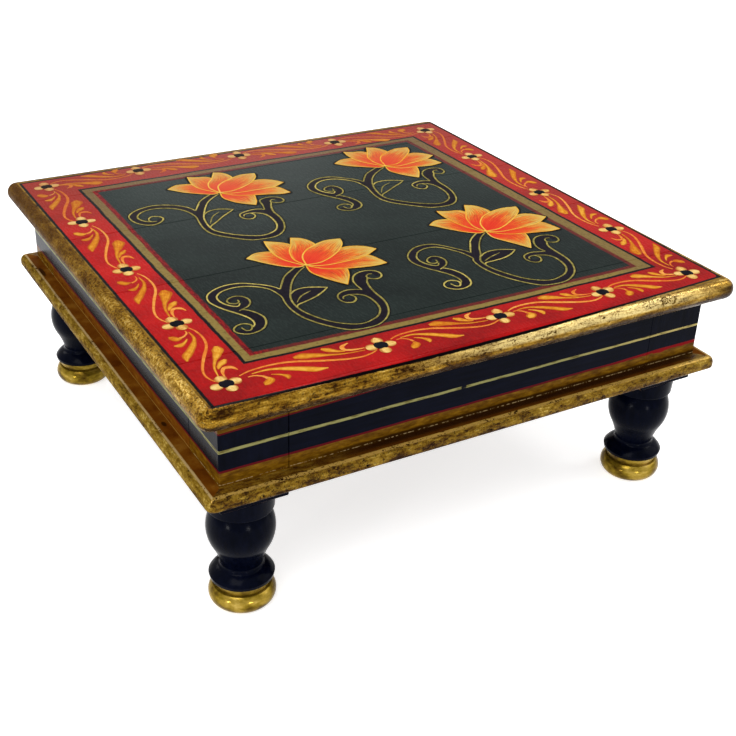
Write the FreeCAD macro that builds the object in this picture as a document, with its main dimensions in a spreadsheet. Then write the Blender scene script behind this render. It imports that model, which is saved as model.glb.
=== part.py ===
"""A square bajot: a low painted table with a boarded top, a tenoned frame and four turned legs.

All lengths are in millimetres. The origin lies on the floor below the middle of the top,
+Z points up, the front faces -Y and the top's boards run along X.
"""
import FreeCAD, Part
import math
import os
import re

import Sketcher
from FreeCAD import Placement, Rotation, Vector

os.makedirs("parts", exist_ok=True)
doc = FreeCAD.newDocument("bajot")

# Driving dimensions: name, value, meaning
SIZES = [
    ("table_height", 158, "floor to the top face"),
    ("top_side", 380, "outside of the edge bead, both ways"),
    ("board_overhang", 8, "boards beyond the outside of the aprons, all round"),
    ("board_thickness", 14, "top boards and edge bead"),
    ("front_board_width", 50, "board along the front bead"),
    ("back_board_width", 43, "board along the back bead"),
    ("board_arris", 0.4, "chamfer along each board's top edges"),
    ("bead_width", 7, "half-round bead nailed round the boards"),
    ("bead_flat", 0.1, "flat left on each side of the bead's two rounds"),
    ("bead_corner_radius", 8, "sanded corner of the mitred bead, seen from above"),
    ("apron_height", 52.5, "rails between the legs"),
    ("apron_thickness", 18, "rails between the legs"),
    ("tenon_thickness", 7, "tongue on a rail's end"),
    ("tenon_length", 24, "tongue on a rail's end"),
    ("tenon_shoulder", 8, "rail left above and below its tongue"),
    ("fit_clearance", 0.1, "play round tongues, pegs, pins and screws"),
    ("leg_square", 43, "square head of a leg"),
    ("head_drop", 10.5, "square head below the aprons"),
    ("head_arris", 0.7, "chamfer round the head's lower edge and corners"),
    ("collar_height", 12.2, "disc turned below the head"),
    ("collar_radius", 21.2, "disc turned below the head, at its top"),
    ("collar_low_radius", 20.5, "the disc above its rounded lower edge"),
    ("collar_round", 1.1, "the disc's rounded lower edge"),
    ("ball_radius", 20.9, "ball at its fullest"),
    ("ball_top_radius", 16.4, "ball where it meets the disc"),
    ("ball_low_radius", 18.2, "ball where it runs into the neck"),
    ("neck_height", 13.9, "taper from the ball to the neck"),
    ("neck_radius", 13, "neck at its thinnest"),
    ("flare_height", 3, "flare above the ring's crown"),
    ("crown_radius", 14.8, "ring's crown where the flare meets it"),
    ("crown_height", 4.9, "ring's crown above its fullest part"),
    ("ring_radius", 20.1, "ring at its fullest"),
    ("ring_low_radius", 19.7, "ring's lower edge"),
    ("ring_height", 2.1, "ring below its fullest part"),
    ("gilt_top_radius", 18.5, "gilt cone under the ring, at its top"),
    ("gilt_low_radius", 17.3, "gilt cone under the ring, at its foot"),
    ("gilt_height", 4.6, "gilt cone under the ring"),
    ("groove_radius", 16.2, "leg in the groove over the foot"),
    ("groove_height", 1.4, "groove over the foot"),
    ("foot_base_radius", 16.8, "face that the leg stands on"),
    ("foot_swell", 4, "foot at its fullest beyond that face"),
    ("foot_draw", 2.7, "foot's upper edge inside its fullest"),
    ("foot_upper_height", 6, "foot above its fullest part"),
    ("foot_lower_height", 6.6, "foot below its fullest part"),
    ("moulding_width", 11.5, "strip nailed round the foot of the aprons"),
    ("moulding_thickness", 8.5, "strip nailed round the foot of the aprons"),
    ("moulding_top_round", 4.5, "upper outer edge of the strip"),
    ("moulding_low_round", 2, "lower outer edge of the strip"),
    ("moulding_corner_radius", 5.5, "sanded corner of the strip, seen from above"),
    ("batten_width", 40, "cross bar under the boards"),
    ("batten_thickness", 16, "cross bar under the boards"),
    ("batten_spacing", 160, "between the middles of the two bars"),
    ("stub_thickness", 8, "tongue on a bar's end"),
    ("stub_length", 8, "tongue on a bar's end"),
    ("peg_radius", 2.5, "wooden peg through a rail's tongue"),
    ("peg_end_wall", 3, "wood left beyond a peg"),
    ("peg_offset", 8, "peg above or below the middle of its tongue"),
    ("screw_length", 24, "batten screw"),
    ("screw_radius", 1.75, "batten screw's shank"),
    ("screw_head_radius", 3.5, "batten screw's countersunk head"),
    ("screw_head_height", 2.2, "batten screw's countersunk head"),
    ("pin_radius", 0.7, "panel pin"),
    ("bead_pin_length", 22, "pin through the edge bead"),
    ("moulding_pin_length", 24, "pin through the lower strip"),
    ("pin_recess", 0.3, "pin's end below the gilt surface"),
]

SIDES = ("front", "right", "back", "left")
CORNERS = ("front_left", "front_right", "back_right", "back_left")
INNER_BOARDS = ("inner_front", "middle", "inner_back")
INNER_SHARES = (0.37, 0.34, 0.29)
SCREW_SHARE = 0.25
MOULDING_PIN_SHARE = 0.33

sheet = doc.addObject("Spreadsheet::Sheet", "dims")
for row, (alias, number, meaning) in enumerate(SIZES, start=1):
    sheet.set(f"A{row}", alias)
    sheet.set(f"B{row}", str(number))
    sheet.set(f"C{row}", meaning)
    sheet.setAlias(f"B{row}", alias)
doc.recompute()

# Formulas in the sheet's names that several pieces share: heights above the floor
BOARD_BOTTOM = "(table_height - board_thickness)"
BOARD_MIDDLE = "(table_height - board_thickness / 2)"
APRON_BOTTOM = f"({BOARD_BOTTOM} - apron_height)"
TENON_BOTTOM = f"({APRON_BOTTOM} + tenon_shoulder)"
TENON_HEIGHT = "(apron_height - 2 * tenon_shoulder)"
HIGH_PEG = f"({TENON_BOTTOM} + {TENON_HEIGHT} / 2 + peg_offset)"
LOW_PEG = f"({TENON_BOTTOM} + {TENON_HEIGHT} / 2 - peg_offset)"
BATTEN_BOTTOM = f"({BOARD_BOTTOM} - batten_thickness)"
STRIP_FLAT = "(moulding_thickness - moulding_top_round - moulding_low_round)"
STRIP_MIDDLE = f"({APRON_BOTTOM} + moulding_low_round + {STRIP_FLAT} / 2)"
HEAD_BOTTOM = f"({APRON_BOTTOM} - head_drop)"

# Distances from the table's middle
TOP_HALF = "(top_side / 2)"
FIELD_HALF = f"({TOP_HALF} - bead_width)"
FRAME_HALF = f"({FIELD_HALF} - board_overhang)"
INNER_HALF = f"({FRAME_HALF} - apron_thickness)"
RAIL_MIDDLE = f"({FRAME_HALF} - apron_thickness / 2)"
RAIL_HALF = f"({FRAME_HALF} - leg_square)"
LEG_MIDDLE = f"({FRAME_HALF} - leg_square / 2)"
TENON_END = f"({RAIL_HALF} + tenon_length)"
PEG_MIDDLE = f"({RAIL_HALF} + tenon_length / 2)"
FRONT_SEAM = f"(front_board_width - {FIELD_HALF})"
BACK_SEAM = f"({FIELD_HALF} - back_board_width)"
INNER_WIDTH = f"({BACK_SEAM} - {FRONT_SEAM})"

# Fits
PEG_LENGTH = "(leg_square - peg_end_wall)"
PEG_HOLE = "(peg_radius + fit_clearance)"
PIN_HOLE = "(pin_radius + fit_clearance)"
SCREW_HOLE = "(screw_radius + fit_clearance)"
SCREW_TAPER = "atan((screw_head_radius - screw_radius) / screw_head_height)"
BEAD_PIN_DEPTH = "(bead_pin_length + pin_recess - bead_width + fit_clearance)"
STRIP_PIN_DEPTH = "(moulding_pin_length + pin_recess - moulding_width + fit_clearance)"

# Each board of the top: name, front edge, back edge
BOARDS = [("front", f"(-{FIELD_HALF})", FRONT_SEAM)]
reached = 0
for name, share in zip(INNER_BOARDS, INNER_SHARES):
    BOARDS.append((name, f"({FRONT_SEAM} + {reached:.2f} * {INNER_WIDTH})",
                   f"({FRONT_SEAM} + {reached + share:.2f} * {INNER_WIDTH})"))
    reached += share
BOARDS.append(("back", BACK_SEAM, FIELD_HALF))

# Pins of the edge bead, one to the middle of each board; the other sides have them alike,
# so at the left end, a half turn on, they come in the other order
BEAD_PINS = [f"(({first} + {last}) / 2)" for _, first, last in BOARDS]
END_PINS = {board[0]: (BEAD_PINS[place], f"(-{BEAD_PINS[-1 - place]})")
            for place, board in enumerate(BOARDS)}

# Pins of the lower strip: one in each leg and the rest in the apron
STRIP_PINS = [f"(-{LEG_MIDDLE})", f"(-2 * {RAIL_HALF} * {MOULDING_PIN_SHARE})", "0",
              f"(2 * {RAIL_HALF} * {MOULDING_PIN_SHARE})", LEG_MIDDLE]

# Screws along a batten: one to each outer board, two to each inner board
SCREWS = [f"(({FRONT_SEAM} - {INNER_HALF}) / 2)"]
for _, first, last in BOARDS[1:-1]:
    for share in (-SCREW_SHARE, SCREW_SHARE):
        SCREWS.append(f"(({first} + {last}) / 2 + {share} * ({last} - {first}))")
SCREWS.append(f"(({BACK_SEAM} + {INNER_HALF}) / 2)")


def named(formula):
    """The formula with each of the sheet's names written as the sheet's own cell."""
    return re.sub(r"[a-z]+(?:_[a-z]+)+", lambda name: f"dims.{name.group()}", formula)


def value(formula):
    """The number that a formula gives with the sheet's present sizes."""
    return float(sheet.evalExpression(formula))


def new_body(label, quarter_turns=0):
    """The body of one piece, turned about the table's upright middle axis."""
    body = doc.addObject("PartDesign::Body", label)
    body.Label = label
    body.Placement = Placement(Vector(), Rotation(Vector(0, 0, 1), 90 * quarter_turns))
    return body


def new_sketch(body, role, offset):
    """A sketch on one of the body's own planes, moved along that plane's normal."""
    sketch = body.newObject("Sketcher::SketchObject", f"{body.Label}_sketch")
    planes = {item.Role: item for item in body.Origin.OriginFeatures}
    sketch.AttachmentSupport = [(planes[role], "")]
    sketch.MapMode = "FlatFace"
    sketch.setExpression("AttachmentOffset.Base.z", named(offset))
    return sketch


def constrain(sketch, kind, formula, *ends):
    index = sketch.addConstraint(Sketcher.Constraint(kind, *ends, value(formula)))
    sketch.setExpression(f"Constraints[{index}]", named(formula))


def hold_point(sketch, side, end, x, y):
    """Ties a point of the sketch to two formulas, measured from the sketch's origin."""
    constrain(sketch, "DistanceX", x, -1, 1, side, end)
    constrain(sketch, "DistanceY", y, -1, 1, side, end)


def outline(sketch, points, arcs=None):
    """A closed outline through points given as pairs of formulas.

    arcs gives, for the number of a side that is round, its radius as a formula and its
    turn: 1 where the outline goes round it counter-clockwise and -1 where clockwise.
    """
    arcs = arcs or {}
    spots = [Vector(value(x), value(y), 0) for x, y in points]
    begins, ends = [], []
    for side, first in enumerate(spots):
        last = spots[(side + 1) % len(spots)]
        if side in arcs:
            formula, turn = arcs[side]
            radius = value(formula)
            chord = last - first
            rise = math.sqrt(radius ** 2 - chord.Length ** 2 / 4)
            across = Vector(-chord.y, chord.x, 0).normalize()
            centre = (first + last) / 2 + across * rise * turn
            start, stop = (first, last) if turn > 0 else (last, first)
            angles = [math.atan2(spot.y - centre.y, spot.x - centre.x) for spot in (start, stop)]
            circle = Part.Circle(centre, Vector(0, 0, 1), radius)
            sketch.addGeometry(Part.ArcOfCircle(circle, *angles))
            begins.append(1 if turn > 0 else 2)
            ends.append(2 if turn > 0 else 1)
        else:
            sketch.addGeometry(Part.LineSegment(first, last))
            begins.append(1)
            ends.append(2)
    for side in range(len(points)):
        following = (side + 1) % len(points)
        sketch.addConstraint(
            Sketcher.Constraint("Coincident", side, ends[side], following, begins[following]))
    for side, (x, y) in enumerate(points):
        hold_point(sketch, side, begins[side], x, y)
    for side, (formula, _) in arcs.items():
        constrain(sketch, "Radius", formula, side)


def rectangle(sketch, left, right, low, high):
    outline(sketch, [(left, low), (right, low), (right, high), (left, high)])


def circles(sketch, spots, radius):
    """Circles of one radius, their centres given as pairs of formulas."""
    for side, (x, y) in enumerate(spots):
        centre = Vector(value(x), value(y), 0)
        sketch.addGeometry(Part.Circle(centre, Vector(0, 0, 1), value(radius)))
        hold_point(sketch, side, 3, x, y)
        constrain(sketch, "Radius", radius, side)


def pad(body, sketch, length, taper=None):
    """Extends a sketch along its plane's normal, drawing in or out by the taper."""
    feature = body.newObject("PartDesign::Pad", f"{body.Label}_pad")
    feature.Profile = sketch
    feature.setExpression("Length", named(length))
    if taper is not None:
        feature.setExpression("TaperAngle", named(taper))
    doc.recompute()
    return feature


def pocket(body, sketch, depth=None, along_normal=False):
    """Cuts a sketch into the body, or through it, against its normal unless along_normal."""
    volume = body.Shape.Volume
    feature = body.newObject("PartDesign::Pocket", f"{body.Label}_pocket")
    feature.Profile = sketch
    feature.Reversed = along_normal
    if depth is None:
        feature.Type = "ThroughAll"
    else:
        feature.setExpression("Length", named(depth))
    doc.recompute()
    if body.Shape.Volume >= volume:
        raise RuntimeError(f"{feature.Label} cuts nothing")
    return feature


def dress(body, kind, size, wanted):
    """A chamfer or fillet on the edges that the test wanted accepts."""
    base = body.Tip
    names = [f"Edge{number}" for number, edge in enumerate(base.Shape.Edges, start=1)
             if wanted(edge)]
    if not names:
        raise RuntimeError(f"{body.Label} has no edge for this {kind}")
    feature = body.newObject(f"PartDesign::{kind}", f"{body.Label}_{kind.lower()}")
    feature.Base = (base, names)
    feature.setExpression("Size" if kind == "Chamfer" else "Radius", named(size))
    doc.recompute()
    return feature


def quarter_copies(body):
    """Repeats the body's last pad on all four sides of the table."""
    pattern = body.newObject("PartDesign::PolarPattern", f"{body.Label}_pattern")
    pattern.Originals = [body.Tip]
    axes = {item.Role: item for item in body.Origin.OriginFeatures}
    pattern.Axis = (axes["Z_Axis"], [""])
    pattern.Angle = 360
    pattern.Occurrences = len(SIDES)
    body.Tip = pattern
    doc.recompute()


def level(edge, height):
    """Whether the whole edge lies at one height."""
    box = edge.BoundBox
    near = value("fit_clearance")
    return abs(box.ZMin - height) < near and abs(box.ZMax - height) < near


def upright(edge):
    box = edge.BoundBox
    return box.XLength + box.YLength < value("fit_clearance")


def top_board(name, first, last):
    """A board along X, with holes for the bead's pins and for the batten screws."""
    body = new_body(f"top_board_{name}")
    sketch = new_sketch(body, "XY_Plane", BOARD_BOTTOM)
    rectangle(sketch, f"-{FIELD_HALF}", FIELD_HALF, first, last)
    pad(body, sketch, "board_thickness")
    dress(body, "Chamfer", "board_arris", lambda edge: level(edge, value("table_height")))

    right_pin, left_pin = END_PINS[name]
    sketch = new_sketch(body, "YZ_Plane", FIELD_HALF)
    circles(sketch, [(right_pin, BOARD_MIDDLE)], PIN_HOLE)
    pocket(body, sketch, BEAD_PIN_DEPTH)
    sketch = new_sketch(body, "YZ_Plane", f"-{FIELD_HALF}")
    circles(sketch, [(left_pin, BOARD_MIDDLE)], PIN_HOLE)
    pocket(body, sketch, BEAD_PIN_DEPTH, along_normal=True)

    if name in ("front", "back"):
        at_front = name == "front"
        sign = "" if at_front else "-"
        sketch = new_sketch(body, "XZ_Plane", f"{sign}{FIELD_HALF}")
        circles(sketch, [(f"{sign}{x}", BOARD_MIDDLE) for x in BEAD_PINS], PIN_HOLE)
        pocket(body, sketch, BEAD_PIN_DEPTH, along_normal=not at_front)

    own = [y for y in SCREWS if value(first) < value(y) < value(last)]
    spots = [(f"{side} * batten_spacing / 2", y) for side in (-1, 1) for y in own]
    sketch = new_sketch(body, "XY_Plane", BOARD_BOTTOM)
    circles(sketch, spots, SCREW_HOLE)
    pocket(body, sketch, "screw_length - batten_thickness + fit_clearance", along_normal=True)


def strip_outline(sketch, inner, outer, corner):
    """A strip along the front between two mitres, with its outer corners rounded."""
    mitre = f"({outer} - {corner} * (1 - sqrt(2) / 2))"
    straight = f"({outer} - {corner})"
    outline(sketch,
            [(f"-{inner}", f"-{inner}"), (inner, f"-{inner}"), (mitre, f"-{mitre}"),
             (straight, f"-{outer}"), (f"-{straight}", f"-{outer}"), (f"-{mitre}", f"-{mitre}")],
            {2: (corner, -1), 4: (corner, -1)})


def outer_edges(height, outer):
    """A test for the edges of such a strip that go round its outside at one height."""
    def wanted(edge):
        reaches_out = edge.BoundBox.YMin < value(f"fit_clearance - {outer}")
        return reaches_out and level(edge, value(height))

    return wanted


def edge_bead(side, quarter_turns):
    """A half-round bead along one side of the boards."""
    body = new_body(f"edge_bead_{side}", quarter_turns)
    sketch = new_sketch(body, "XY_Plane", BOARD_BOTTOM)
    strip_outline(sketch, FIELD_HALF, TOP_HALF, "bead_corner_radius")
    pad(body, sketch, "board_thickness")
    for height in (BOARD_BOTTOM, "table_height"):
        dress(body, "Fillet", "min(board_thickness / 2; bead_width) - bead_flat",
              outer_edges(height, TOP_HALF))
    sketch = new_sketch(body, "XZ_Plane", TOP_HALF)
    circles(sketch, [(x, BOARD_MIDDLE) for x in BEAD_PINS], PIN_HOLE)
    pocket(body, sketch)


def base_moulding(side, quarter_turns):
    """A rounded strip nailed round the lower edge of the frame."""
    body = new_body(f"base_moulding_{side}", quarter_turns)
    outer = f"({FRAME_HALF} + moulding_width)"
    sketch = new_sketch(body, "XY_Plane", APRON_BOTTOM)
    strip_outline(sketch, FRAME_HALF, outer, "moulding_corner_radius")
    pad(body, sketch, "moulding_thickness")
    dress(body, "Fillet", "moulding_low_round", outer_edges(APRON_BOTTOM, outer))
    dress(body, "Fillet", "moulding_top_round",
          outer_edges(f"{APRON_BOTTOM} + moulding_thickness", outer))
    sketch = new_sketch(body, "XZ_Plane", outer)
    circles(sketch, [(x, STRIP_MIDDLE) for x in STRIP_PINS], PIN_HOLE)
    pocket(body, sketch)


def apron(side, quarter_turns):
    """A rail between two legs, its tongue pegged high at one end and low at the other."""
    body = new_body(f"apron_{side}", quarter_turns)
    sketch = new_sketch(body, "XY_Plane", APRON_BOTTOM)
    rectangle(sketch, f"-{RAIL_HALF}", RAIL_HALF, f"-{FRAME_HALF}", f"-{INNER_HALF}")
    pad(body, sketch, "apron_height")

    sketch = new_sketch(body, "XY_Plane", TENON_BOTTOM)
    rectangle(sketch, f"-{TENON_END}", TENON_END,
              f"-({RAIL_MIDDLE} + tenon_thickness / 2)", f"-({RAIL_MIDDLE} - tenon_thickness / 2)")
    pad(body, sketch, TENON_HEIGHT)
    sketch = new_sketch(body, "XZ_Plane", f"{RAIL_MIDDLE} + tenon_thickness / 2")
    circles(sketch, [(f"-{PEG_MIDDLE}", HIGH_PEG), (PEG_MIDDLE, LOW_PEG)], PEG_HOLE)
    pocket(body, sketch)

    sketch = new_sketch(body, "XZ_Plane", FRAME_HALF)
    circles(sketch, [(x, STRIP_MIDDLE) for x in STRIP_PINS[1:-1]], PIN_HOLE)
    pocket(body, sketch, STRIP_PIN_DEPTH)

    if side in ("front", "back"):
        for sign in (-1, 1):
            middle = f"{sign} * batten_spacing / 2"
            sketch = new_sketch(body, "XZ_Plane", INNER_HALF)
            rectangle(sketch, f"{middle} - batten_width / 2 - fit_clearance",
                      f"{middle} + batten_width / 2 + fit_clearance",
                      f"{BATTEN_BOTTOM} - fit_clearance",
                      f"{BATTEN_BOTTOM} + stub_thickness + fit_clearance")
            pocket(body, sketch, "stub_length + fit_clearance", along_normal=True)


def turned_outline(sketch):
    """Half of the leg's turned part, from the floor up, beside the leg's own axis."""
    steps = ("foot_lower_height", "foot_upper_height", "groove_height", "gilt_height",
             "ring_height", "crown_height", "flare_height", "neck_height")
    heights = ["0"]
    for step in steps:
        heights.append(f"({heights[-1]} + {step})")
    (foot_fullest, foot_top, groove_top, gilt_top, ring_fullest, crown_top, neck_at,
     ball_bottom) = heights[1:]
    foot_radius = "(foot_base_radius + foot_swell)"
    collar_bottom = f"({HEAD_BOTTOM} - collar_height)"
    points = [
        ("0", "0"),
        ("foot_base_radius", "0"),
        (foot_radius, foot_fullest),
        (f"({foot_radius} - foot_draw)", foot_top),
        ("groove_radius", foot_top),
        ("groove_radius", groove_top),
        ("gilt_low_radius", groove_top),
        ("gilt_top_radius", gilt_top),
        ("ring_low_radius", gilt_top),
        ("ring_radius", ring_fullest),
        ("crown_radius", crown_top),
        ("neck_radius", neck_at),
        ("ball_low_radius", ball_bottom),
        ("ball_top_radius", collar_bottom),
        ("(collar_low_radius - collar_round)", collar_bottom),
        ("collar_low_radius", f"({collar_bottom} + collar_round)"),
        ("collar_radius", HEAD_BOTTOM),
        ("0", HEAD_BOTTOM),
    ]

    def swell(height, depth):
        """The radius of an arc whose fullest point lies depth beyond its other end."""
        return f"((pow({height}; 2) + pow({depth}; 2)) / (2 * ({depth})))"

    def turned(side, degrees):
        """The radius of an arc along one side that turns by twice the degrees given."""
        (x1, y1), (x2, y2) = points[side], points[side + 1]
        return (f"(sqrt(pow({x2} - {x1}; 2) + pow({y2} - {y1}; 2)) / 2"
                f" / {math.sin(math.radians(degrees)):.4f})")

    arcs = {
        1: (swell("foot_lower_height", "foot_swell"), 1),
        2: (swell("foot_upper_height", "foot_draw"), 1),
        9: (turned(9, 16), 1),
        10: (turned(10, 38), -1),
        11: (turned(11, 8), -1),
        12: (swell(f"({collar_bottom} - {ball_bottom}) / 2",
                   "ball_radius - (ball_top_radius + ball_low_radius) / 2"), 1),
        14: (turned(14, 45), 1),
    }
    outline(sketch, points, arcs)


def leg(corner, quarter_turns):
    """A leg: a square head with two mortises over a turned ball, neck, ring and foot."""
    body = new_body(f"leg_{corner}", quarter_turns)
    right = quarter_turns in (1, 2)
    back = quarter_turns in (2, 3)
    body.setExpression("Placement.Base.x", named(LEG_MIDDLE if right else f"-{LEG_MIDDLE}"))
    body.setExpression("Placement.Base.y", named(LEG_MIDDLE if back else f"-{LEG_MIDDLE}"))

    half = "(leg_square / 2)"
    sketch = new_sketch(body, "XY_Plane", HEAD_BOTTOM)
    rectangle(sketch, f"-{half}", half, f"-{half}", half)
    pad(body, sketch, f"{BOARD_BOTTOM} - {HEAD_BOTTOM}")
    dress(body, "Chamfer", "head_arris",
          lambda edge: upright(edge) or level(edge, value(HEAD_BOTTOM)))

    sketch = new_sketch(body, "XZ_Plane", "0")
    turned_outline(sketch)
    feature = body.newObject("PartDesign::Revolution", f"{body.Label}_turned")
    feature.Profile = sketch
    feature.ReferenceAxis = (sketch, ["V_Axis"])
    feature.Angle = 360
    doc.recompute()

    middle = f"(-({half} - apron_thickness / 2))"
    low = f"{TENON_BOTTOM} - fit_clearance"
    high = f"{TENON_BOTTOM} + {TENON_HEIGHT} + fit_clearance"
    near_side = f"{middle} - tenon_thickness / 2 - fit_clearance"
    far_side = f"{middle} + tenon_thickness / 2 + fit_clearance"
    peg_place = f"({half} - tenon_length / 2)"
    faces = (("YZ_Plane", half, False, LOW_PEG), ("XZ_Plane", f"-{half}", True, HIGH_PEG))
    for role, face, along_normal, peg_height in faces:
        sketch = new_sketch(body, role, face)
        rectangle(sketch, near_side, far_side, low, high)
        pocket(body, sketch, "tenon_length + fit_clearance", along_normal)
        sketch = new_sketch(body, role, face)
        circles(sketch, [(peg_place, peg_height)], PEG_HOLE)
        pocket(body, sketch, f"{PEG_LENGTH} + fit_clearance", along_normal)
    for role, face, along_normal in (("XZ_Plane", half, False), ("YZ_Plane", f"-{half}", True)):
        sketch = new_sketch(body, role, face)
        circles(sketch, [("0", STRIP_MIDDLE)], PIN_HOLE)
        pocket(body, sketch, STRIP_PIN_DEPTH, along_normal)


def batten(side, sign):
    """A cross bar under the boards, tongued into the front and back aprons."""
    body = new_body(f"batten_{side}")
    middle = f"{sign} * batten_spacing / 2"
    ends = f"{middle} - batten_width / 2", f"{middle} + batten_width / 2"
    sketch = new_sketch(body, "XY_Plane", BATTEN_BOTTOM)
    rectangle(sketch, *ends, f"-{INNER_HALF}", INNER_HALF)
    pad(body, sketch, "batten_thickness")
    sketch = new_sketch(body, "XY_Plane", BATTEN_BOTTOM)
    rectangle(sketch, *ends, f"-({INNER_HALF} + stub_length)", f"{INNER_HALF} + stub_length")
    pad(body, sketch, "stub_thickness")

    sketch = new_sketch(body, "XY_Plane", BATTEN_BOTTOM)
    circles(sketch, [(middle, y) for y in SCREWS], SCREW_HOLE)
    volume = body.Shape.Volume
    hole = body.newObject("PartDesign::Hole", f"{body.Label}_hole")
    hole.Profile = sketch
    doc.recompute()
    hole.ThreadType = "None"
    hole.DepthType = "ThroughAll"
    hole.HoleCutType = "Countersink"
    hole.Reversed = True
    hole.setExpression("Diameter", named(f"2 * {SCREW_HOLE}"))
    hole.setExpression("HoleCutDiameter", named("2 * (screw_head_radius + fit_clearance)"))
    hole.setExpression("HoleCutCountersinkAngle", named(f"2 * {SCREW_TAPER}"))
    doc.recompute()
    if body.Shape.Volume >= volume:
        raise RuntimeError(f"{hole.Label} cuts nothing")


def tenon_pegs():
    """Wooden pegs driven through the rails' tongues from inside the frame."""
    body = new_body("tenon_pegs")
    sketch = new_sketch(body, "XZ_Plane", RAIL_HALF)
    circles(sketch, [(f"-{PEG_MIDDLE}", HIGH_PEG), (PEG_MIDDLE, LOW_PEG)], "peg_radius")
    pad(body, sketch, PEG_LENGTH)
    quarter_copies(body)


def panel_pins(label, spots, outer_end, length):
    """The pins of the four strips at one height, driven square to the strips."""
    body = new_body(label)
    sketch = new_sketch(body, "XZ_Plane", f"{outer_end} - pin_recess - {length}")
    circles(sketch, spots, "pin_radius")
    pad(body, sketch, length)
    quarter_copies(body)


def batten_screws():
    """Countersunk screws through the battens into the boards."""
    body = new_body("batten_screws")
    spots = [(f"{sign} * batten_spacing / 2", y) for sign in (-1, 1) for y in SCREWS]
    sketch = new_sketch(body, "XY_Plane", BATTEN_BOTTOM)
    circles(sketch, spots, "screw_radius")
    pad(body, sketch, "screw_length")
    sketch = new_sketch(body, "XY_Plane", BATTEN_BOTTOM)
    circles(sketch, spots, "screw_head_radius")
    pad(body, sketch, "screw_head_height", taper=f"-{SCREW_TAPER}")


for board in BOARDS:
    top_board(*board)
for turns, side_name in enumerate(SIDES):
    edge_bead(side_name, turns)
    apron(side_name, turns)
    base_moulding(side_name, turns)
for turns, corner_name in enumerate(CORNERS):
    leg(corner_name, turns)
batten("left", -1)
batten("right", 1)
tenon_pegs()
batten_screws()
panel_pins("bead_pins", [(x, BOARD_MIDDLE) for x in BEAD_PINS], TOP_HALF, "bead_pin_length")
panel_pins("moulding_pins", [(x, STRIP_MIDDLE) for x in STRIP_PINS],
           f"({FRAME_HALF} + moulding_width)", "moulding_pin_length")

doc.recompute()
for item in doc.Objects:
    if {"Invalid", "Error"} & set(item.State):
        raise RuntimeError(f"{item.Label} is {item.State}")
pieces = [item for item in doc.Objects if item.TypeId == "PartDesign::Body"]
for piece in pieces:
    if piece.Shape.isNull() or not piece.Shape.isValid():
        raise RuntimeError(f"{piece.Label} has no valid shape")
for piece in pieces:
    piece.Shape.exportStep(f"parts/{piece.Label}.step")
    print(piece.Label, len(piece.Shape.Solids), round(piece.Shape.Volume))
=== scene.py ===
"""The looks of the bajot low table: painted top, gilt trim, banded lacquer, floor, lights and camera."""

import math
import random

import bpy
from mathutils import Matrix, Vector


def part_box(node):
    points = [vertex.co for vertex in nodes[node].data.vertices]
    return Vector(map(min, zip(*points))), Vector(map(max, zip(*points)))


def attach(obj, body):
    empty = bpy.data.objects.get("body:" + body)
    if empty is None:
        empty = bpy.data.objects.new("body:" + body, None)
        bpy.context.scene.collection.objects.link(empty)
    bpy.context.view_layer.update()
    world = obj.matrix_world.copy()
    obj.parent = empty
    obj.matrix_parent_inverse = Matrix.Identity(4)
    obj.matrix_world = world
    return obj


MM = 0.001
PER_METRE = 1000.0

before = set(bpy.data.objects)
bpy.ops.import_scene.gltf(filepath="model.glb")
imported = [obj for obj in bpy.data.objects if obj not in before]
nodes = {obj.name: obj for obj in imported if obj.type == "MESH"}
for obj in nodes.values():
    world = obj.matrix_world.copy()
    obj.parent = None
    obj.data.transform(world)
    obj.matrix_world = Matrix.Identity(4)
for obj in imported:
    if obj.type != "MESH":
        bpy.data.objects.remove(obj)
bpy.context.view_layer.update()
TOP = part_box("top_board_middle")[1].z


# ---------------------------------------------------------------- shader helpers


def rgb(red, green, blue):
    """A colour as a picture shows it (0 to 255), turned into the linear values that a shader takes."""
    return tuple(
        c / 12.92 if c <= 0.04045 else ((c + 0.055) / 1.055) ** 2.4
        for c in (red / 255, green / 255, blue / 255)
    ) + (1.0,)


class Field:
    """A value that varies over a surface. Plain arithmetic on it adds the shader nodes."""

    def __init__(self, tree, socket):
        self.tree, self.socket = tree, socket

    def math(self, operation, *others):
        """The result of a Math node. A number or a field may stand on its other side."""
        node = self.tree.nodes.new("ShaderNodeMath")
        node.operation = operation
        for entry, value in zip(node.inputs, (self,) + others):
            if isinstance(value, Field):
                self.tree.links.new(value.socket, entry)
            else:
                entry.default_value = value
        return Field(self.tree, node.outputs[0])

    def __add__(self, other):
        return self.math("ADD", other)

    def __sub__(self, other):
        return self.math("SUBTRACT", other)

    def __mul__(self, other):
        return self.math("MULTIPLY", other)

    def low(self, other):
        return self.math("MINIMUM", other)

    def high(self, other):
        return self.math("MAXIMUM", other)

    def size(self):
        return self.math("ABSOLUTE")

    def flipped(self):
        """1 where the field is 0, and the other way round."""
        return (self * -1.0) + 1.0

    def rise(self, start, end):
        """0 below start, 1 above end, smooth between."""
        node = self.tree.nodes.new("ShaderNodeMapRange")
        node.interpolation_type = "SMOOTHSTEP"
        self.tree.links.new(self.socket, node.inputs["Value"])
        node.inputs["From Min"].default_value = start
        node.inputs["From Max"].default_value = end
        return Field(self.tree, node.outputs["Result"])

    def band(self, start, end, soft=0.3):
        """1 between start and end, with edges as soft as given."""
        return self.rise(start - soft, start + soft) * self.rise(end - soft, end + soft).flipped()


# How far apart two seeds take their noise from one another.
SEED_SHIFT = (17.3, 9.1, 5.7)


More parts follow.
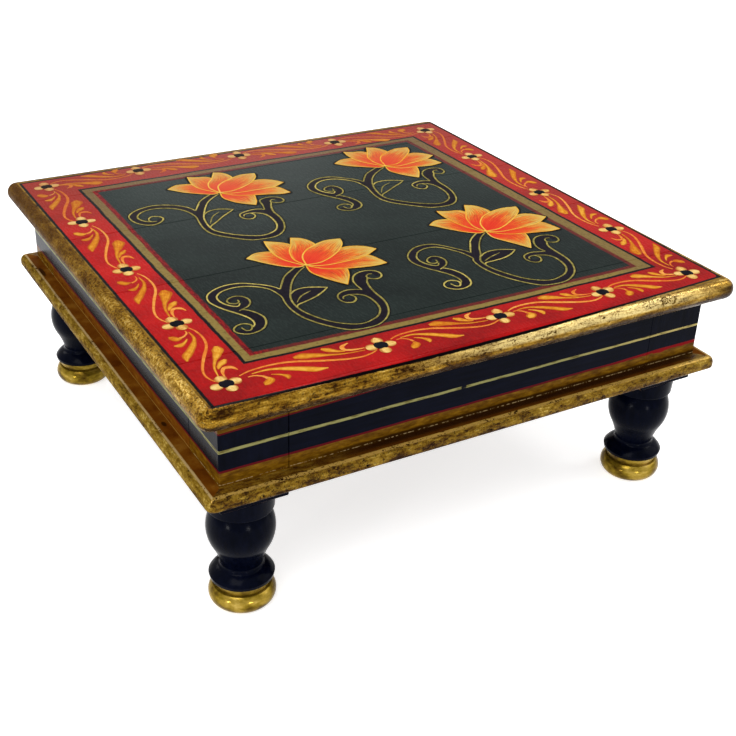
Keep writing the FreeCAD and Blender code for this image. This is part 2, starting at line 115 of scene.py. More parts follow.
class Finish:
    """A procedural material under construction, with its coordinates in millimetres."""

    def __init__(self, name):
        self.material = bpy.data.materials.new(name)
        self.material.use_nodes = True
        self.tree = self.material.node_tree
        self.shader = self.tree.nodes["Principled BSDF"]
        self.place = self.node("ShaderNodeTexCoord").outputs["Object"]
        self.x, self.y, self.z = (axis * PER_METRE for axis in self.split(self.place))

    def node(self, kind):
        return self.tree.nodes.new(kind)

    def link(self, source, target):
        self.tree.links.new(source.socket if isinstance(source, Field) else source, target)

    def split(self, vector):
        """The three parts of a vector, as fields."""
        node = self.node("ShaderNodeSeparateXYZ")
        self.link(vector, node.inputs[0])
        return [Field(self.tree, output) for output in node.outputs]

    def join(self, x, y, z):
        """A vector from three fields or numbers."""
        node = self.node("ShaderNodeCombineXYZ")
        for value, entry in zip((x, y, z), node.inputs):
            if isinstance(value, Field):
                self.link(value, entry)
            else:
                entry.default_value = value
        return node.outputs[0]

    def facing(self):
        """The surface normal, as three fields."""
        return self.split(self.node("ShaderNodeNewGeometry").outputs["Normal"])

    def mark(self):
        """What a painted stroke carries: place along it, place across it, its own shade."""
        node = self.node("ShaderNodeAttribute")
        node.attribute_name = "stroke"
        return self.split(node.outputs["Vector"])

    def grain(self, size, detail=3.0, rough=0.55, at=None, seed=0.0):
        """Noise from 0 to 1, with features about as large as size, in millimetres along x, y and z."""
        scale = self.node("ShaderNodeMapping")
        unit = PER_METRE if at is None else 1.0
        scale.inputs["Scale"].default_value = [unit / reach for reach in size]
        scale.inputs["Location"].default_value = [seed * shift for shift in SEED_SHIFT]
        self.link(self.place if at is None else at, scale.inputs["Vector"])
        noise = self.node("ShaderNodeTexNoise")
        noise.inputs["Scale"].default_value = 1.0
        noise.inputs["Detail"].default_value = detail
        noise.inputs["Roughness"].default_value = rough
        self.link(scale.outputs[0], noise.inputs["Vector"])
        return Field(self.tree, noise.outputs["Fac"])

    def ramp(self, field, *stops):
        """Colours along a field, as (place, colour) pairs."""
        node = self.node("ShaderNodeValToRGB")
        elements = node.color_ramp.elements
        while len(elements) < len(stops):
            elements.new(0.5)
        for element, (place, colour) in zip(elements, stops):
            element.position, element.color = place, colour
        self.link(field, node.inputs[0])
        return node.outputs["Color"]

    def mix(self, amount, first, second):
        """The first colour where amount is 0, the second where it is 1."""
        node = self.node("ShaderNodeMix")
        node.data_type = "RGBA"
        self.link(amount, node.inputs["Factor"])
        for value, entry in zip((first, second), (node.inputs[6], node.inputs[7])):
            if isinstance(value, tuple):
                entry.default_value = value
            else:
                self.link(value, entry)
        return node.outputs[2]

    def done(self, colour, roughness, bump=None, height=0.1, metal=None, **uniform):
        """Sets the shader. height is the bump's relief in millimetres; uniform sets its other sockets."""
        self.link(colour, self.shader.inputs["Base Color"])
        if isinstance(roughness, Field):
            self.link(roughness, self.shader.inputs["Roughness"])
        else:
            self.shader.inputs["Roughness"].default_value = roughness
        if isinstance(metal, Field):
            self.link(metal, self.shader.inputs["Metallic"])
        elif metal is not None:
            self.shader.inputs["Metallic"].default_value = metal
        if bump is not None:
            node = self.node("ShaderNodeBump")
            node.inputs["Distance"].default_value = height * MM
            self.link(bump, node.inputs["Height"])
            self.link(node.outputs[0], self.shader.inputs["Normal"])
        for name, value in uniform.items():
            self.shader.inputs[name.replace("_", " ")].default_value = value
        return self.material


# ---------------------------------------------------------------- colours read from the photograph

RED = rgb(174, 15, 15)
RED_LIGHT = rgb(192, 26, 20)
RED_DARK = rgb(132, 8, 10)
# The red border's colour under the painted sheen.
RED_UNDER_SHEEN = rgb(138, 48, 36)
RED_LINE = rgb(92, 12, 18)
STRIPE_DULL = rgb(86, 32, 26)
# The olive band's colour under the painted sheen.
OLIVE_UNDER_SHEEN = rgb(100, 74, 50)
BLACK = rgb(3, 1, 3)
OLIVE = rgb(134, 113, 56)
OLIVE_DARK = rgb(104, 84, 38)
SLATE = rgb(14, 23, 21)
SLATE_LIGHT = rgb(28, 38, 35)
# The slate's colour under the painted sheen.
SLATE_SHEEN = rgb(46, 60, 55)
NAVY = rgb(0, 2, 12)
NAVY_LIGHT = rgb(7, 11, 28)
LINE_GOLD = rgb(150, 146, 92)
LINE_PALE = rgb(192, 174, 108)
LINE_SHADE = rgb(98, 88, 42)
GILT_PIT = rgb(34, 14, 2)
GILT_TONES = (rgb(50, 26, 3), rgb(98, 66, 13), rgb(138, 102, 28), rgb(174, 136, 50), rgb(222, 188, 108))
LEDGE_TONES = (rgb(84, 40, 4), rgb(104, 56, 8), rgb(116, 68, 13), rgb(134, 88, 26))
LEDGE_SHADE = rgb(38, 17, 3)
BEAD_SHADE = rgb(44, 27, 12)
# A painted highlight on the front bead's crest.
CREST_HIGHLIGHT = rgb(248, 226, 156)
# A painted highlight along the beads' bottom edge.
LIP_HIGHLIGHT = rgb(134, 114, 88)
# Two pale tones of painted highlight, for the arrises of the mouldings and the dotted line along the aprons'
# joint with them.
DOTTED_HIGHLIGHT = rgb(200, 172, 122)
ARRIS_HIGHLIGHT = rgb(198, 160, 80)
NOSE_TONES = (rgb(52, 28, 4), rgb(92, 64, 14), rgb(126, 96, 26), rgb(150, 120, 42), rgb(196, 166, 84))
SKIRT_TONES = (rgb(72, 42, 4), rgb(104, 70, 10), rgb(138, 98, 18))
FOOT_TONES = (rgb(60, 40, 6), rgb(100, 78, 20), rgb(134, 110, 30), rgb(168, 140, 56), rgb(200, 172, 92))
SIDE_BROWN = rgb(92, 60, 22)
WOOD = rgb(128, 92, 58)
WOOD_DARK = rgb(84, 56, 34)
STEEL_DARK = rgb(96, 92, 86)
STEEL_LIGHT = rgb(168, 166, 160)
PETAL_TONES = (
    (0.2, rgb(212, 44, 20)),
    (0.5, rgb(218, 66, 22)),
    (0.64, rgb(222, 112, 30)),
    (0.76, rgb(214, 150, 50)),
    (0.92, rgb(206, 178, 88)),
)
PETAL_BRISTLE = rgb(158, 50, 16)
# The petals' colour under the painted sheen.
PETAL_UNDER_SHEEN = rgb(176, 108, 56)
FLOOR_TONES = ((0.3, rgb(240, 240, 240)), (0.7, rgb(244, 244, 244)))


# ---------------------------------------------------------------- materials of the table's own pieces

# A painted sheen on the top grows between these two places, from the middle to the back, dulling the paint.
BACK_SHEEN = (20.0, 180.0)

# The red border and the black line round it, outward from the middle of the top. Beyond ROUND_START the
# corners are round. At the front the line bows out over the bead. On the left and right it lies further out
# by these amounts, with RIGHT_SPREAD added behind the front right corner.
LINE_START, LINE_END, LINE_SOFT = 178.4, 180.3, 0.5
ROUND_START = 175.5
BOW, BOW_MIDDLE, BOW_REACH = 7.0, -40.0, 218.0
LEFT_OUT, RIGHT_OUT, RIGHT_SPREAD = 1.0, 2.4, 1.4

# The bands inside the border. Each edge lies between two distances inward from one of the outlines.
LINE_CORNERS = [(-145.9, -147.3), (152.6, -147.6), (149.0, 152.6), (-144.7, 148.9)]
PANEL_CORNERS = [(-136.7, -137.4), (139.3, -138.8), (136.6, 143.1), (-134.0, 138.4)]
LINE_OUTER, LINE_INNER = (-1.4, -0.9), (0.8, 1.4)
STRIPE_OUTER, STRIPE_INNER = (-4.0, -3.1), (-0.7, 0.4)
INNER_BOW, INNER_BOW_REACH = 1.8, 160.0


def inside(corners, x, y):
    """How far a place lies inside a four-cornered outline drawn by hand, in millimetres."""
    nearest = None
    for (ax, ay), (bx, by) in zip(corners, corners[1:] + corners[:1]):
        run = math.hypot(bx - ax, by - ay)
        nx, ny = (ay - by) / run, (bx - ax) / run
        side = x * nx + y * ny - (ax * nx + ay * ny)
        nearest = side if nearest is None else nearest.low(side)
    return nearest


def steps(tones, start, end):
    """Stops of a ramp: the tones spread evenly from start to end."""
    return [(start + (end - start) * i / (len(tones) - 1), tone) for i, tone in enumerate(tones)]


def wood_colour(finish, along):
    """Bare wood with its grain along x, y or z."""
    size = {"x": (60, 2.2, 2.2), "y": (2.2, 60, 2.2), "z": (2.2, 2.2, 60)}[along]
    return finish.ramp(finish.grain(size, 4), (0.3, WOOD_DARK), (0.7, WOOD))


def hand_tremble(f):
    """The unevenness of a line painted by hand, about -0.5 to 0.5."""
    return f.grain((3, 3, 3), 2, seed=2) - 0.5


def bordered(f, tremble, ground):
    """The red border and its black line over a ground, with how far (0 to 1) the ground shows."""
    across = (f.x - BOW_MIDDLE) * (1.0 / BOW_REACH)
    front = f.y * -1.0 - (across * across).flipped().high(0.0) * BOW
    right = f.x - f.y.rise(-150.0, -60.0) * RIGHT_SPREAD - RIGHT_OUT
    left = f.x * -1.0 - LEFT_OUT
    edge = front.high(right).high(left).high(f.y) + tremble * 0.7
    round_x, round_y = (right - ROUND_START).high(0.0), (front - ROUND_START).high(0.0)
    corner = (round_x * round_x + round_y * round_y).math("SQRT") + ROUND_START
    cloud = f.grain((45, 30, 30), 3, seed=3)
    mottle = f.grain((2.4, 2.4, 2.4), 3, seed=12) - 0.5
    tone = cloud * 0.8 + mottle * 0.3 + 0.1 - f.y.rise(-110.0, -150.0) * 0.1
    red = f.ramp(tone, (0.25, RED_DARK), (0.5, RED), (0.72, RED_LIGHT))
    # Painted sheen: the red is dulled towards the back and along the right side.
    painted_sheen = f.y.rise(*BACK_SHEEN) * 0.85
    painted_sheen = painted_sheen.high(f.x.rise(140.0, 165.0) * f.y.rise(-150.0, 20.0) * 0.5)
    red = f.mix(painted_sheen, red, RED_UNDER_SHEEN)
    colour = f.mix(edge.high(corner).rise(LINE_START, LINE_START + LINE_SOFT), red, BLACK)
    bare = edge.rise(LINE_END, LINE_END + LINE_SOFT)
    return f.mix(bare, colour, ground), bare


def painted_top():
    """The painted boards: red border, black line, olive band, red stripe, slate panel."""
    f = Finish("painted_top")
    wobble = f.grain((22, 22, 22), 2) - 0.5
    tremble = hand_tremble(f)
    shift = wobble * 1.6 + tremble * 0.7
    arc = (f.x * f.x * (-1.0 / INNER_BOW_REACH**2) + 1.0).high(0.0)
    bow = arc * f.y.rise(-60.0, -135.0) * INNER_BOW
    x, y = f.x + shift, f.y - shift + bow
    line = inside(LINE_CORNERS, x, y)
    panel = inside(PANEL_CORNERS, x, y)
    fine = f.grain((1.4, 5.0, 5.0), 4, seed=1)
    cloud = f.grain((45, 30, 30), 3, seed=3)
    lap = f.ramp(f.grain((9, 9, 9), 4, seed=9), (0.3, GILT_TONES[0]), (0.55, GILT_TONES[2]))
    border, _ = bordered(f, tremble, lap)
    olive = f.ramp(f.grain((2.6, 2.6, 2.6), 3, seed=5), (0.25, OLIVE_DARK), (0.5, OLIVE))
    # Painted sheen: the olive band is dulled towards the back and on the right.
    painted_sheen = f.y.rise(-20.0, 150.0).high(f.x.rise(120.0, 145.0) * 0.5) * 0.7
    olive = f.mix(painted_sheen, olive, OLIVE_UNDER_SHEEN)
    slate = f.ramp(cloud * 0.6 + fine * 0.4, (0.36, SLATE), (0.66, SLATE_LIGHT))
    # Painted sheen: the slate grows paler and greener towards the back.
    slate = f.mix(f.y.rise(-90.0, 190.0) * 0.3, slate, SLATE_SHEEN)
    colour = f.mix(line.rise(*LINE_OUTER), border, BLACK)
    colour = f.mix(line.rise(*LINE_INNER), colour, olive)
    stripe = f.mix(fine.rise(0.4, 0.6), RED_LINE, RED_DARK)
    stripe = f.mix(f.x.rise(-134.0, -120.0) * 0.75, stripe, STRIPE_DULL)
    colour = f.mix(panel.rise(*STRIPE_OUTER), colour, stripe)
    colour = f.mix(panel.rise(*STRIPE_INNER), colour, slate)
    top = f.facing()[2].rise(0.4, 0.6)
    colour = f.mix(top, wood_colour(f, "x"), colour)
    rough = fine * 0.1 + 0.22
    relief = fine * (line.rise(-2.0, 0.0) * 0.4 + 0.2) + cloud * 0.4
    return f.done(colour, rough, relief, 0.12, IOR=1.08)


def gilding(finish, along, tones, wear_and_light, long=12.0, hammered=False):
    """Worn gilding: its colour, its relief, and how much of it is sound (1) or pitted away (0)."""
    brushed, patch, scar = (
        finish.grain((run, short, short) if along == "x" else (short, run, short), 4, 0.6, seed=seed)
        for run, short, seed in ((long, 1.6, 0), (17.0, 7.0, 4), (3.4, 2.0, 9))
    )
    speck = finish.grain((1.2, 1.2, 1.2), 2, 0.5, seed=7)
    if hammered:
        dents = finish.grain((1.5, 1.5, 1.5), 2, 0.5, seed=13)
        tone = brushed * 0.2 + patch * 0.3 + dents * 0.5 - wear_and_light - 0.01
        speck = dents
    else:
        tone = brushed * 0.4 + patch * 0.35 + speck * 0.25 - wear_and_light
    colour = finish.ramp(tone, *steps(tones, 0.37, 0.63))
    pits = (speck - patch * 0.35 + wear_and_light * 0.6).rise(0.40, 0.47)
    scars = (scar * 0.65 + patch * -0.35 + wear_and_light).rise(0.21, 0.26)
    lost = (pits * 0.7).high(scars * 0.85)
    colour = finish.mix(lost, colour, GILT_PIT)
    return colour, brushed * 0.3 + speck * 0.3 - lost * 0.5, lost.flipped()


# Heights on the half-round bead: its middle, below which it gets painted shade, the foot of its crest, which
# carries a painted highlight, and the top of that crest.
BEAD_MIDDLE = 151.0
CREST_START, CREST_END = 152.5, 157.4


def gilt_bead(name, along):
    """The half-round beads: brown towards the back on the sides, with a painted highlight along the crest
    towards the front right.
    """
    f = Finish(name)
    on_side = along == "y"
    # Along each bead the tone shifts, partly wear and partly painted light: darker towards the back on the
    # sides, lighter towards the right on the front.
    slope, start = (0.00022, 0.004) if on_side else (-0.0002, 0.002)
    wear_and_light = (f.y if on_side else f.x) * slope + start
    # Below its middle the bead grows darker: painted shade.
    below = ((f.z - BEAD_MIDDLE) * -0.011).high(0.0)
    colour, relief, sound = gilding(f, along, GILT_TONES, wear_and_light + below, 12.0, on_side)
    if on_side:
        colour = f.mix(f.y.rise(-170.0, 190.0) * 0.7, colour, SIDE_BROWN)
        metal = sound * f.y.rise(-60.0, -170.0) * 0.4
    else:
        # Painted shade on the front bead's lower half and a painted highlight along its crest, both towards
        # the right.
        crest = f.z.band(CREST_START, CREST_END, 1.0) * f.x.rise(-80.0, 40.0) * f.x.rise(188.0, 110.0)
        low = f.z.rise(CREST_START, 149.5) * f.x.rise(-20.0, 90.0)
        colour = f.mix(low * relief.rise(0.5, 0.2) * 0.85, colour, BEAD_SHADE)
        colour = f.mix(crest * sound * relief.rise(0.18, 0.36) * 0.8, colour, CREST_HIGHLIGHT)
        metal = sound * 0.5
    # A band of painted shade under the bead and a thin painted highlight along its bottom edge.
    lip_top, under_top = (148.0, 149.2) if on_side else (146.8, 149.4)
    colour = f.mix(f.z.rise(under_top + 0.8, under_top - 0.8) * 0.75, colour, BEAD_SHADE)
    colour = f.mix(f.z.rise(lip_top + 0.2, lip_top - 0.2) * relief.rise(0.0, 0.2) * 0.8, colour, LIP_HIGHLIGHT)
    shaded = f.x.rise(166.0, 182.0) * f.z.rise(157.2, 154.0)
    colour = f.mix(shaded * 0.9, colour, BEAD_SHADE)
    rough = sound.flipped() * 0.2 + (0.3 if on_side else 0.22)
    colour, bare = bordered(f, hand_tremble(f), colour)
    return f.done(colour, rough, relief * bare, 0.5, metal * bare, IOR=1.05 if on_side else 1.08)


# The lower mouldings: where the ledge ends outward, and the middle of the nose's height.
LEDGE_END = 182.0
MOULDING_MIDDLE = 96.5
# Dark knots on the left ledge: middle along it, distance out, half length and half width.
KNOTS = [(144.6, 180.4, 9.0, 1.9), (-98.9, 177.9, 3.2, 1.5)]


def gilt_moulding(name, along):
    """The lower mouldings: a smooth red-brown ledge, a painted highlight along the arris and a gilt nose."""
    f = Finish(name)
    on_side = along == "y"
    # Along each moulding the tone shifts, partly wear and partly painted light: darker towards the back on
    # the sides, lighter towards the right on the front.
    slope, start = (0.0001, -0.025) if on_side else (-0.0001, 0.01)
    wear_and_light = (f.y if on_side else f.x) * slope + start
    out = f.x.size().high(f.y.size()) + (f.grain((30, 30, 30), 2, seed=2) - 0.5) * 0.5
    # Below the nose's middle the gilding grows darker: painted shade.
    below = ((f.z - MOULDING_MIDDLE) * -0.008).high(0.0)
    nose, relief, sound = gilding(f, along, NOSE_TONES, wear_and_light + below, 5.0)
    cracks = f.grain((2.2, 2.2, 9.0), 2, 0.5, seed=11).rise(0.66, 0.7) * f.z.rise(97.5, 96.0)
    nose = f.mix(cracks * 0.8, nose, GILT_PIT)
    ledge = f.ramp(f.grain((14, 14, 14), 4, 0.6, seed=6), *steps(LEDGE_TONES, 0.3, 0.7))
    if on_side:
        for middle, reach, long, wide in KNOTS:
            down, over = (f.y - middle) * (1.0 / long), (out - reach) * (1.0 / wide)
            knot = (down * down + over * over).rise(1.3, 0.4) * f.x.rise(0.0, -10.0)
            ledge = f.mix(knot * 0.85, ledge, GILT_PIT)
    else:
        dark = f.x.rise(-150.0, -70.0) * f.x.rise(185.0, 165.0)
        dark = dark * (f.y.rise(-177.5, -181.0) * -0.5 + 0.95)
        ends = f.x.rise(-70.0, -130.0).high(f.x.rise(150.0, 178.0)) * 0.8
        ledge = f.mix(dark, f.mix(ends, ledge, nose), LEDGE_SHADE)
    colour = f.mix(out.rise(LEDGE_END - 0.5, LEDGE_END + 0.1), ledge, nose)
    # A painted highlight along the arris where the ledge meets the nose.
    arris_width = 1.2 if on_side else 2.2
    arris = out.band(LEDGE_END - 0.1, LEDGE_END + arris_width, 0.4) * relief.rise(0.0, 0.16)
    colour = f.mix(arris * 0.75, colour, DOTTED_HIGHLIGHT if on_side else ARRIS_HIGHLIGHT)
    metal = 0.0 if on_side else out.rise(182.6, 184.0) * sound * 0.35
    rough = sound.flipped() * 0.2 + 0.3
    return f.done(colour, rough, relief, 0.3, metal, IOR=1.03 if on_side else 1.12)


# The painted bands, as heights above the floor. The gold line has its middle, and the distances from it
# between which the line fades. Above INNER_EDGE, faces that look inward or down are bare wood.
UNDER_BEAD = (134.6, 150.0)
UPPER_RED = (133.6, 134.6)
GOLD_LINE = 122.6
GOLD_HALF = (1.15, 0.8)
LOWER_RED = (106.0, 110.3)
SKIRTING = (90.0, 108.9)
BROWN_FOOT = (90.0, 103.4)
# A thin dotted painted highlight along the joint over the moulding.
JOINT_HIGHLIGHT = (100.9, 101.5)
FOOT_EDGE = 18.6
INNER_EDGE = (80.0, 82.0)
# From the left end of the front, the upper bands drop and the gold line thins by these shares.
LEFT_END = -175.0
BAND_DROP, LINE_THINNING = 0.03, 0.0006
# The gold line is chipped at one place on the front, this far left of the middle.
NICK = 14.8


def lacquer(name, along):
    """Black lacquer with painted bands on the square faces and a gilt foot under the ring."""
    f = Finish(name)
    on_side = along == "y"
    fine = f.grain({"x": (30, 3, 1.5), "y": (3, 30, 1.5), "z": (3, 3, 12)}[along], 4)
    cloud = f.grain((26, 26, 18), 3, seed=2)
    wear = f.grain((12, 12, 1.6), 4, seed=6)
    height = f.z + (f.grain((40, 40, 40), 2, seed=3) - 0.5) * 1.0 + (wear - 0.5) * 0.4
    from_left = f.x - LEFT_END
    rising = height - from_left * BAND_DROP
    colour = f.ramp(cloud * 0.5 + fine * 0.5, (0.35, NAVY), (0.68, NAVY_LIGHT))
    skirt = f.grain((9, 9, 2.6), 4, 0.6, seed=5)
    olive = f.ramp(skirt, *steps(LEDGE_TONES if on_side else SKIRT_TONES, 0.3, 0.7))
    pale = f.mix(f.x.rise(40.0, 150.0), LINE_GOLD, LINE_PALE)
    gold = f.mix(wear.rise(0.34, 0.52), LINE_SHADE, pale)
    red = f.mix(f.x.rise(60.0, 160.0), RED_LINE, RED_DARK)
    ragged = (skirt - 0.5) * (f.x.rise(90.0, 150.0) * 6.0 + 0.5)
    colour = f.mix(rising.band(*UNDER_BEAD, 0.25), colour, olive)
    colour = f.mix(rising.band(*UPPER_RED, 0.25), colour, RED_LINE)
    line = (height - GOLD_LINE).size() + from_left * LINE_THINNING
    nick = (f.x + NICK).size().rise(2.4, 1.2) * f.y.rise(0.0, -10.0) * wear.rise(0.62, 0.45)
    colour = f.mix(line.rise(*GOLD_HALF) * nick.flipped(), colour, gold)
    colour = f.mix((height - f.x.rise(80.0, 160.0)).band(*LOWER_RED, 0.25), colour, red)
    colour = f.mix((height + ragged).band(*SKIRTING, 0.25), colour, olive)
    dots = f.grain((1.8, 1.8, 1.8), 3, seed=12).rise(0.44, 0.6)
    if on_side:
        dots = dots.high(0.7)
    else:
        brown = height.band(*BROWN_FOOT, 0.8) * f.x.rise(-150.0, -70.0)
        colour = f.mix(brown * 0.9, colour, LEDGE_SHADE)
    # A dotted painted highlight along the joint with the moulding.
    pale = f.z.band(*JOINT_HIGHLIGHT, 0.2) * dots * 0.65
    colour = f.mix(pale, colour, ARRIS_HIGHLIGHT if on_side else DOTTED_HIGHLIGHT)
    turning = f.grain((15, 15, 8), 4, 0.6, seed=8)
    foot = height.rise(FOOT_EDGE - 0.3, FOOT_EDGE + 0.3).flipped()
    colour = f.mix(foot, colour, f.ramp(turning, *steps(FOOT_TONES, 0.3, 0.7)))
    nx, ny, nz = f.facing()
    inward = (f.x * nx + f.y * ny).rise(-8.0, -2.0).flipped()
    downward = nz.rise(-0.9, -0.6).flipped()
    inner = inward.high(downward) * f.z.rise(*INNER_EDGE)
    colour = f.mix(inner, colour, wood_colour(f, along))
    rough = inner * 0.4 + fine * 0.1 + 0.14
    relief = fine * 0.5 + cloud * 0.5
    return f.done(colour, rough, relief, 0.2, foot * 0.5, IOR=1.1)


def bare_wood(name, along):
    """Unpainted wood with open pores."""
    f = Finish(name)
    pores = f.grain({"x": (40, 1.2, 1.2), "y": (1.2, 40, 1.2)}[along], 4, seed=3)
    return f.done(wood_colour(f, along), 0.62, pores, 0.3)


def steel():
    """The batten screws' scratched steel."""
    f = Finish("steel")
    scratch = f.grain((0.6, 0.6, 0.2), 3)
    colour = f.ramp(scratch, (0.35, STEEL_DARK), (0.7, STEEL_LIGHT))
    return f.done(colour, scratch * 0.25 + 0.3, scratch, 0.05, 1.0)


def dress(names, material):
    """Gives CAD nodes a material, whatever their mesh carried before."""
    for name in names:
        piece = nodes[name]
        if not piece.material_slots:
            piece.data.materials.append(material)
        for slot in piece.material_slots:
            slot.material = material


SIDES_X, SIDES_Y = ("front", "back"), ("left", "right")
dress([n for n in nodes if n.startswith("top_board_")], painted_top())
for sides, along in ((SIDES_X, "x"), (SIDES_Y, "y")):
    dress([f"edge_bead_{s}" for s in sides], gilt_bead(f"gilt_bead_{along}", along))
    dress([f"base_moulding_{s}" for s in sides], gilt_moulding(f"gilt_moulding_{along}", along))
    dress([f"apron_{s}" for s in sides], lacquer(f"lacquer_{along}", along))
dress([n for n in nodes if n.startswith("leg_")], lacquer("lacquer_leg", "z"))
dress(["batten_left", "batten_right"], bare_wood("batten_wood", "y"))
dress(["tenon_pegs"], bare_wood("peg_wood", "x"))
dress(["batten_screws"], steel())
dress(["bead_pins", "moulding_pins"], gilt_bead("gilt_pins", "x"))


# ---------------------------------------------------------------- brush strokes

# Lines drawn between two given points, steps round a dab, and a dab's least half width.
STEPS = 5
DAB_STEPS = 16
DAB_TIP = 0.01
# How far the middle of a stroke, of paint that lies flat and of a dab swells, in millimetres.
SWELL, FLAT, DAB_SWELL = 0.06, 0.02, 0.12


def smooth(points, steps=STEPS):
    """A smooth line through given points."""
    spots = [Vector(p) for p in points]
    line = []
    for i in range(len(spots) - 1):
        a, b = spots[i], spots[i + 1]
        before = spots[i - 1] if i else a
        after = spots[i + 2] if i + 2 < len(spots) else b
        for k in range(steps):
            t = k / steps
            line.append(
                a * (1 - 3 * t * t + 2 * t**3)
                + b * (3 * t * t - 2 * t**3)
                + (b - before) * 0.5 * (t - 2 * t * t + t**3)
                + (after - a) * 0.5 * (t**3 - t * t)
            )
    return line + [spots[-1]]


def evenly(line, count):
    """The same line as count points at equal distances."""
    reach = [0.0]
    for a, b in zip(line, line[1:]):
        reach.append(reach[-1] + (b - a).length)
    spots, i = [], 0
    for k in range(count):
        target = reach[-1] * k / (count - 1)
        while i < len(line) - 2 and reach[i + 1] < target:
            i += 1
        part = (target - reach[i]) / max(reach[i + 1] - reach[i], 1e-9)
        spots.append(line[i].lerp(line[i + 1], min(part, 1.0)))
    return spots


def profile(values, t):
    """A value read from a short list that runs from the start (t = 0) to the end (t = 1)."""
    place = t * (len(values) - 1)
    i = min(int(place), len(values) - 2)
    part = place - i
    part = part * part * (3 - 2 * part)
    return values[i] * (1 - part) + values[i + 1] * part


class Brush:
    """Thin raised paint of one kind, gathered into one piece on the table's top."""

    def __init__(self, name, material):
        self.name, self.material = name, material
        self.spots, self.faces, self.marks = [], [], []

    def strip(self, left, right, lift, body=SWELL, across=4, shade=0.5):
        """Paint between two lines with as many points each. It lies lift above the top."""
        first = len(self.spots)
        for i, (a, b) in enumerate(zip(left, right)):
            for j in range(across + 1):
                s = j / across
                crown = body * (1 - (2 * s - 1) ** 2)
                spot = a.lerp(b, s)
                self.spots.append((spot.x * MM, spot.y * MM, TOP + (lift + crown) * MM))
                self.marks.append((i / (len(left) - 1), s, shade))
        for i in range(len(left) - 1):
            for j in range(across):
                k = first + i * (across + 1) + j
                self.faces.append((k, k + 1, k + across + 2, k + across + 1))

    def stroke(self, points, widths, lift, shade=0.5, body=SWELL):
        """One brush stroke along points, as wide as widths says from its start to its end."""
        line = smooth(points)
        left, right = [], []
        for i, spot in enumerate(line):
            ahead = line[min(i + 1, len(line) - 1)] - line[max(i - 1, 0)]
            side = Vector((-ahead.y, ahead.x)).normalized()
            half = profile(widths, i / (len(line) - 1)) / 2
            left.append(spot + side * half)
            right.append(spot - side * half)
        self.strip(left, right, lift, body, shade=shade)

    def blob(self, centre, long, wide, angle, lift, shade=0.5):
        """A round dab, long by wide, turned by angle."""
        ahead = Vector((math.cos(angle), math.sin(angle)))
        side = Vector((-ahead.y, ahead.x))
        left, right = [], []
        for k in range(DAB_STEPS + 1):
            turn = math.pi * k / DAB_STEPS
            spot = Vector(centre) - ahead * math.cos(turn) * long / 2
            half = math.sin(turn) * wide / 2 + DAB_TIP
            left.append(spot + side * half)
            right.append(spot - side * half)
        self.strip(left, right, lift, DAB_SWELL, 6, shade)

    def done(self):
        """Makes the piece, facing up."""
        mesh = bpy.data.meshes.new(self.name)
        mesh.from_pydata(self.spots, [], self.faces)
        marks = mesh.attributes.new("stroke", "FLOAT_VECTOR", "POINT")
        for spot, mark in zip(marks.data, self.marks):
            spot.vector = mark
        mesh.polygons.foreach_set("use_smooth", [True] * len(mesh.polygons))
        if mesh.polygons[0].normal.z < 0:
            mesh.flip_normals()
        mesh.materials.append(self.material)
        piece = bpy.data.objects.new(self.name, mesh)
        bpy.context.scene.collection.objects.link(piece)
        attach(piece, "root")


def stroke_paint(name, *tones, streaks=14.0, edge=None, painted_sheen=None):
    """Brush paint whose tones mix in streaks along the stroke, edged, and dulled towards the back by painted
    sheen.
    """
    f = Finish(name)
    along, across, shade = f.mark()
    place = f.join(along * 3.0, across * streaks, shade * 40.0)
    streak = f.grain((1, 1, 1), 3, at=place)
    mottle = f.grain((3.2, 3.2, 3.2), 3, seed=4)
    tone = streak * 0.55 + mottle * 0.45 + (shade - 0.5) * 0.16
    colour = f.ramp(tone, *steps(tones, 0.34, 0.64))
    if edge:
        ragged = (across - 0.5).size() + (streak - 0.5) * 0.7
        colour = f.mix(ragged.rise(0.24, 0.44) * 0.85, colour, edge)
    # Painted sheen dulls the stroke towards the back.
    if painted_sheen:
        colour = f.mix(f.y.rise(*BACK_SHEEN) * 0.6, colour, painted_sheen)
    return f.done(colour, 0.36, streak, 0.06, IOR=1.04)


def petal_paint():
    """Lotus petals: red at the heart, orange, then gold at the tip, brushed along the petal."""
    f = Finish("petal_paint")
    along, across, shade = f.mark()
    side = (across - 0.5).size() * 2.0
    place = f.join(along * 2.2, across * 42.0, shade * 60.0)
    streak = f.grain((1, 1, 1), 4, 0.7, at=place) - 0.5
    patch = f.grain((5, 5, 5), 3, seed=3) - 0.5
    tone = along + side * side * 0.24 + streak * 1.5 + patch * 0.3
    colour = f.ramp(tone, *PETAL_TONES)
    fine = f.grain((1, 1, 1), 3, 0.6, at=f.join(along * 5.0, across * 55.0, shade * 30.0))
    bristles = fine.rise(0.5, 0.62) * along.band(0.4, 0.85, 0.12)
    colour = f.mix(bristles * 0.75, colour, PETAL_BRISTLE)
    # Painted sheen dulls the petals towards the back.
    colour = f.mix(f.y.rise(*BACK_SHEEN) * 0.35, colour, PETAL_UNDER_SHEEN)
    return f.done(colour, 0.36, streak, 0.08, IOR=1.08)


# ---------------------------------------------------------------- the four lotus motifs

